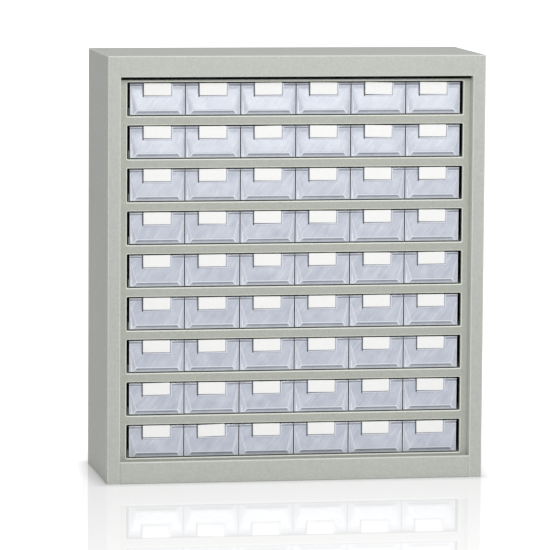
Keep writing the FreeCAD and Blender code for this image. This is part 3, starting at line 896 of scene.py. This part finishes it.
def hull(name, points, rounding=0.0, where=None, cut=None):
    """The tightest closed block around points in millimetres. The rule picks the edges to round. A cut is
    the point nearest to the origin of a plane that splits the faces."""
    work = bmesh.new()
    for spot in points:
        work.verts.new([millimetres(part) for part in spot])
    made = bmesh.ops.convex_hull(work, input=work.verts)
    loose = {item for key in ("geom_interior", "geom_unused") for item in made[key]}
    loose = [item for item in loose if isinstance(item, bmesh.types.BMVert)]
    bmesh.ops.delete(work, geom=loose, context="VERTS")
    bmesh.ops.dissolve_limit(work, angle_limit=0.01, verts=work.verts, edges=work.edges)
    bmesh.ops.recalc_face_normals(work, faces=work.faces)
    FLAT_DIRECTIONS.extend(face.normal.copy() for face in work.faces)
    if cut:
        bmesh.ops.bisect_plane(work, geom=all_of(work), plane_co=Vector(cut) / 1000, plane_no=cut)
    if rounding:
        chosen = [edge for edge in work.edges
                  if edge.calc_face_angle(0) > 0.1 and where(*[vert.co * 1000 for vert in edge.verts])]
        bmesh.ops.bevel(work, geom=chosen, offset=millimetres(rounding), segments=3, profile=0.5,
                        affect="EDGES", clamp_overlap=True)
    return piece_from(work, name)


def block(name, low, high, *rule):
    """A box between two corners, in millimetres."""
    corners = [(x, y, z) for x in (low[0], high[0]) for y in (low[1], high[1]) for z in (low[2], high[2])]
    return hull(name, corners, *rule)


def combine(target, operation, *tools):
    """Join or cut blocks with an exact boolean, and drop the tools."""
    for tool in tools:
        step = target.modifiers.new(operation.lower(), "BOOLEAN")
        step.operation, step.object, step.solver = operation, tool, "EXACT"
        plain_mesh(target)
        bpy.data.objects.remove(tool)
    return target


print("blocks ready")


# %% Mould one drawer
FRONT_HALF, BODY_HALF, WALL, FRONT_WALL = 42.25, 40, 1.6, 2.2
TRAY_LENGTH, TRAY_HEIGHT, FRONT_HEIGHT, PLATE_FOOT = 190, 45, 49, 1
RIM_DEPTH, RIM_HEIGHT = 1.6, 3.5
SHOULDER, RIDGE, FOOT = (40.2, 0, 39), (31.75, -5, 8.5), (37.4, 0, 1.4)
HOLDER_HALF, HOLDER_WALL, HOLDER_DEPTH, CARD_FOOT = 21.6, 1.6, 2.6, 30.3
SLOT_FLOOR, RIDGE_SHADE, JUST_OFF, MOULD_SHARP = 1.4, 5.7, 0.01, 30
EAR_START, EAR_END, EAR_LOW, EAR_TOP = 162, 168, 30, 54


def mirrored(points):
    """The points and their mirror images."""
    return [(side * x, y, z) for side in (-1, 1) for x, y, z in points]


def stands_out(first, second):
    """Whether an edge lies in front of the plate."""
    return min(first.y, second.y) < -JUST_OFF


def at_the_foot(first, second):
    """Whether an edge touches the lowest plane."""
    return min(first.z, second.z) < JUST_OFF


def mould_drawer():
    """One drawer with its front face at Y zero and its underside at height zero."""
    side_view = ((6, 0), (1.5, 2.5), (1.5, TRAY_HEIGHT), (TRAY_LENGTH, TRAY_HEIGHT), (TRAY_LENGTH, 0))
    drawer = hull("drawer_pattern", mirrored([(BODY_HALF, y, z) for y, z in side_view]), 1.5, at_the_foot)
    side_view = ((0, PLATE_FOOT), (FRONT_WALL, PLATE_FOOT), (FRONT_WALL, FRONT_HEIGHT),
                 (RIM_DEPTH, FRONT_HEIGHT), (0, FRONT_HEIGHT - RIM_HEIGHT))
    plate = hull("front_plate", mirrored([(FRONT_HALF, y, z) for y, z in side_view]), 1.2,
                 lambda first, second: max(first.y, second.y) < JUST_OFF)
    behind = [(x, 1, z) for x, y, z in (SHOULDER, FOOT)]
    grip = hull("finger_grip", mirrored([SHOULDER, RIDGE, FOOT] + behind), 1.4, stands_out,
                (0, 0, RIDGE_SHADE))
    outer = HOLDER_HALF + HOLDER_WALL
    holder = block("card_holder", (-outer, -HOLDER_DEPTH, CARD_FOOT - HOLDER_WALL),
                   (outer, 1, FRONT_HEIGHT), 0.4, stands_out, (-HOLDER_HALF, 0, 0))
    combine(drawer, "UNION", plate, grip, holder)
    slot = block("card_slot", (-HOLDER_HALF, -4, CARD_FOOT), (HOLDER_HALF, -SLOT_FLOOR, FRONT_HEIGHT + 2))
    inner = BODY_HALF - WALL
    inside = block("tray_inside", (-inner, FRONT_WALL, WALL), (inner, TRAY_LENGTH - WALL, TRAY_HEIGHT + 9),
                   1.2, lambda first, second: min(first.z, second.z) < WALL + 0.4)
    combine(drawer, "DIFFERENCE", slot, inside)
    ears = [block("ear", (low, EAR_START, EAR_LOW), (high, EAR_END, EAR_TOP))
            for low, high in ((-BODY_HALF, -inner), (inner, BODY_HALF))]
    return combine(drawer, "UNION", *ears)


pattern = mould_drawer()
print("one drawer:", len(pattern.data.polygons), "faces")

# %% [markdown]
# Each face gets a value of painted light: a painted highlight at the plastic's rounded edges, painted shade
# in its gaps and hollows. The value follows from the place of a face on the drawer and the way it looks.

# %% Paint light and shade on the drawer
# Painted light on the drawer runs from 1, a full painted highlight, to -1, full painted shade.
FULL_HIGHLIGHT, PLAIN, FULL_SHADE, SAME_WAY = 1.0, 0.0, -1.0, 0.998
RIM_EDGE, RIM_SLOPE, RIM_TOP = 44.2, 45, 47
GRIP_LOW, GRIP_HIGH, BEVEL_TOP, BEVEL_FOOT = 10, 38, 9, 4


def painted_light_in(middle, normal, corner):
    """The painted light at a corner of a face: 1 for a painted highlight on an edge, below 0 for painted
    shade.
    """
    across, out, up = middle
    rounded = all(normal.dot(direction) < SAME_WAY for direction in FLAT_DIRECTIONS)
    looks_down, looks_aside = normal.z < -0.3, abs(normal.x)
    # The sloped rim: a painted highlight along its lower edge, then painted shade, then paler again.
    if -0.2 < out < FRONT_WALL - 0.1 and up > RIM_EDGE and normal.y < -0.8 and looks_aside < 0.3:
        return 0.6 if up < RIM_SLOPE else (-0.65 if corner.z < RIM_TOP else -0.15)
    # The large face of the grip, which leans back a little.
    if normal.y < -0.9 and 0.1 < normal.z < 0.3:
        return PLAIN
    # The tray behind the plate, whose upper edges get a painted highlight.
    if out > FRONT_WALL + 0.1:
        return 0.8 if normal.z > 0.9 and up > TRAY_HEIGHT - 1 else PLAIN
    # Painted shade in the gaps under a drawer and between two drawers.
    if looks_down and (up < PLATE_FOOT + 0.5 or out > 0.5):
        return FULL_SHADE
    if abs(across) > FRONT_HALF - 0.7 and looks_aside > 0.6:
        return FULL_SHADE
    # The holder: painted shade on its left side and the walls of its slot, painted highlights on its
    # rounded edges.
    if out < -0.5 and up > CARD_FOOT - 2 and abs(across) < HOLDER_HALF + 2:
        if across < -HOLDER_HALF:
            return 0.2 if normal.x < -0.9 else FULL_SHADE
        if not rounded and (out > -2 or abs(normal.y) < 0.5):
            return FULL_SHADE if corner.x < 0 else -0.3
        return 0.7
    # Painted highlights on the rounded edges of the plate and the grip.
    if rounded:
        return 0.65 if GRIP_LOW < up < GRIP_HIGH and abs(across) < FRONT_HALF - 2 else FULL_HIGHLIGHT
    # The bevel under the ridge: painted shade in a strip at its top, painted light towards its foot.
    if looks_down and up < BEVEL_TOP:
        return -0.4 if up > RIDGE_SHADE else (0.8 if corner.z < BEVEL_FOOT else -0.1)
    # Faces that look to the side get some painted light.
    return 0.5 if looks_aside > 0.2 else PLAIN


def paint_light_marks(drawer, material):
    """Write the painted light and shade at every corner of the faces, so that it can change within one
    face.
    """
    mesh = drawer.data
    mark = mesh.attributes.new(PAINTED_LIGHT_MARK, "FLOAT", "CORNER")
    for face in mesh.polygons:
        for corner in face.loop_indices:
            spot = mesh.vertices[mesh.loops[corner].vertex_index].co
            mark.data[corner].value = painted_light_in(face.center * 1000, face.normal, spot * 1000)
    mesh.materials.clear()
    mesh.materials.append(material)
    smooth_to(drawer, MOULD_SHARP)


paint_light_marks(pattern, tray_plastic)
print("marked corners:", len(pattern.data.loops))

# %% [markdown]
# Fifty-four drawers are copies of the pattern, each moved to its place in its mesh and riding on its own
# body.

# %% Fill the cabinet
def place_copy(source, name, body, move, node=None):
    """A copy of a pattern with its place in its mesh, riding on a body."""
    piece = bpy.data.objects.new(name, source.copy())
    piece.data.name = name
    piece.data.transform(move)
    scene.collection.objects.link(piece)
    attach(piece, body)
    if node:
        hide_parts(node)
    return piece


places = [(row, column) for row in range(1, ROWS + 1) for column in range(1, COLUMNS + 1)]
for row, column in places:
    name = drawer_name(row, column)
    place_copy(pattern.data, name.replace("drawer", "tray"), name,
               Matrix.Translation(drawer_corner(row, column)), node=name)
bpy.data.objects.remove(pattern)
print("drawers:", len(places))

# %% [markdown]
# ## Label cards
# A card is cut from heavy paper with slightly rounded corners and a faint curl. Nobody pushes fifty-four
# cards in exactly alike: each one is a little higher or lower and a little askew. A fixed seed keeps them
# the same.

# %% Cut and insert the cards
CARD_HALF, CARD_HEIGHT, CARD_GAUGE, CARD_CORNER, CARD_CURL = 21, 18.4, 0.4, 0.7, 0.12
CARD_PLACE, CARD_TILT = -1.95, 0.45


def card_pattern(material):
    """A card with its front at Y zero, centred across, its lower edge at height zero."""
    half, high, corner = CARD_HALF - CARD_CORNER, CARD_HEIGHT - CARD_CORNER, CARD_CORNER
    outline = []
    for cx, cz, start in ((half, corner, -90), (half, high, 0), (-half, high, 90), (-half, corner, 180)):
        for step in range(4):
            turn = math.radians(start + step * 30)
            outline.append((cx + corner * math.cos(turn), 0, cz + corner * math.sin(turn)))
    work = bmesh.new()
    face = work.faces.new([work.verts.new([millimetres(part) for part in spot]) for spot in outline])
    work.normal_update()
    if face.normal.y > 0:
        face.normal_flip()
    for cut in (-14, -7, 0, 7, 14):
        bmesh.ops.bisect_plane(work, geom=all_of(work), plane_co=(millimetres(cut), 0, 0),
                               plane_no=(1, 0, 0))
    for vert in work.verts:
        vert.co.y += millimetres(CARD_CURL) * (vert.co.x / millimetres(CARD_HALF)) ** 2
    piece = piece_from(work, "card_pattern")
    piece.data.materials.append(material)
    thicken(piece, millimetres(CARD_GAUGE), even=False)
    plain_mesh(piece)
    smooth_to(piece, MOULD_SHARP)
    return piece


card = card_pattern(label_paper)
chance = random.Random(54)
for row, column in places:
    tilt = Matrix.Rotation(math.radians(chance.gauss(0, CARD_TILT)), 4, "Y")
    slide = Vector((chance.uniform(-0.5, -0.15), CARD_PLACE, CARD_FOOT + chance.uniform(0.75, 1.15)))
    move = Matrix.Translation(drawer_corner(row, column) + slide / 1000) @ tilt
    place_copy(card.data, f"label_card_row{row}_col{column}", drawer_name(row, column), move)
bpy.data.objects.remove(card)
print("cards:", len(places))
